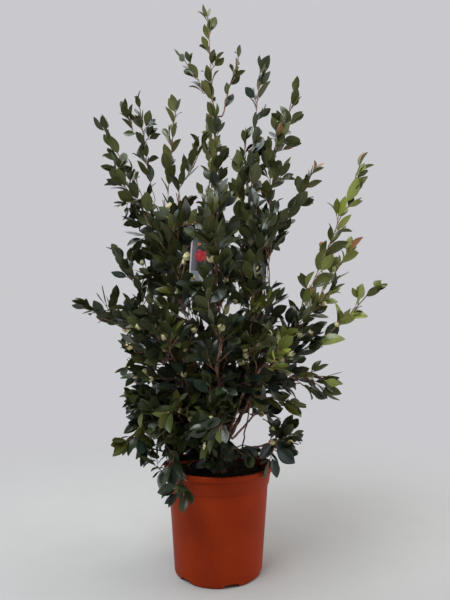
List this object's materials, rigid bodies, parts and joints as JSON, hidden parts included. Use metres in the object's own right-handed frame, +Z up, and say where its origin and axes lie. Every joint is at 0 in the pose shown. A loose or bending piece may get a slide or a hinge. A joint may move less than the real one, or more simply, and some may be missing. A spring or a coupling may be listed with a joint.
{
  "type": "camellia shrub in a nursery pot",
  "caption": "Evergreen camellia shrub with glossy leaves, flower buds and upright leafy shoots, growing in a round terracotta-coloured plastic pot that stands on its flat base.",
  "frame": {"origin": "centre of the flat underside of the pot, which stands on the ground", "axes": "+Z up along the pot's axis, +X to the shrub's right as seen from its front, -Y towards its front"},
  "size_m": [0.6322, 0.4687, 1.186],
  "materials": {
    "terracotta_plastic": "satin injection-moulded plastic in terracotta orange-brown",
    "compost": "dark, moist, crumbly peat and bark",
    "bark": "smooth matt grey-brown bark, redder on young shoots",
    "foliage": "dense glossy dark green leaves",
    "young_foliage": "glossy mid to olive green leaves on upright shoots, some with bronze tips",
    "label_card": "smooth printed plastic card with plain colour bands"
  },
  "bodies": {
    "root": {"pot": "terracotta_plastic", "compost": "compost", "trunk": "bark", "bough_back_left": "bark", "bough_back_right": "bark", "bough_front": "bark", "bough_front_left": "bark", "bough_front_right": "bark", "bough_leader": "bark", "bough_left": "bark", "bough_low_left": "bark", "bough_low_right": "bark", "bough_right": "bark", "back_right_spire": "young_foliage", "back_spire": "young_foliage", "back_spray": "young_foliage", "crest": "young_foliage", "far_right_back": "young_foliage", "far_right_low": "young_foliage", "far_right_tall": "young_foliage", "hanging_label": "label_card", "leader_column": "young_foliage", "leader_left_twig": "young_foliage", "leader_right_twig": "young_foliage", "leader_tip": "young_foliage", "left_fork_cross": "young_foliage", "left_fork_inner": "young_foliage", "left_fork_middle": "young_foliage", "left_fork_outer": "young_foliage", "left_fork_twig": "young_foliage", "left_skirt_spray": "young_foliage", "left_spray_low": "young_foliage", "left_spray_middle": "young_foliage", "left_spray_upper": "young_foliage", "right_leaf_spray": "young_foliage", "right_low_twig": "young_foliage", "right_spire_inner": "young_foliage", "right_spire_outer": "young_foliage", "rim_spray_left": "young_foliage", "rim_spray_right": "young_foliage", "shoulder_back_left": "foliage", "shoulder_back_right": "foliage", "shoulder_front": "foliage", "shoulder_front_left": "foliage", "shoulder_front_right": "foliage", "shoulder_left": "foliage", "shoulder_right": "foliage", "side_spire": "young_foliage", "skirt_back_left": "foliage", "skirt_back_right": "foliage", "skirt_front": "foliage", "skirt_front_left": "foliage", "skirt_left": "foliage", "waist_back_left": "foliage", "waist_back_right": "foliage", "waist_front": "foliage", "waist_front_left": "foliage", "waist_front_right": "foliage", "waist_left": "foliage", "waist_right": "foliage"}
  },
  "joints": []
}
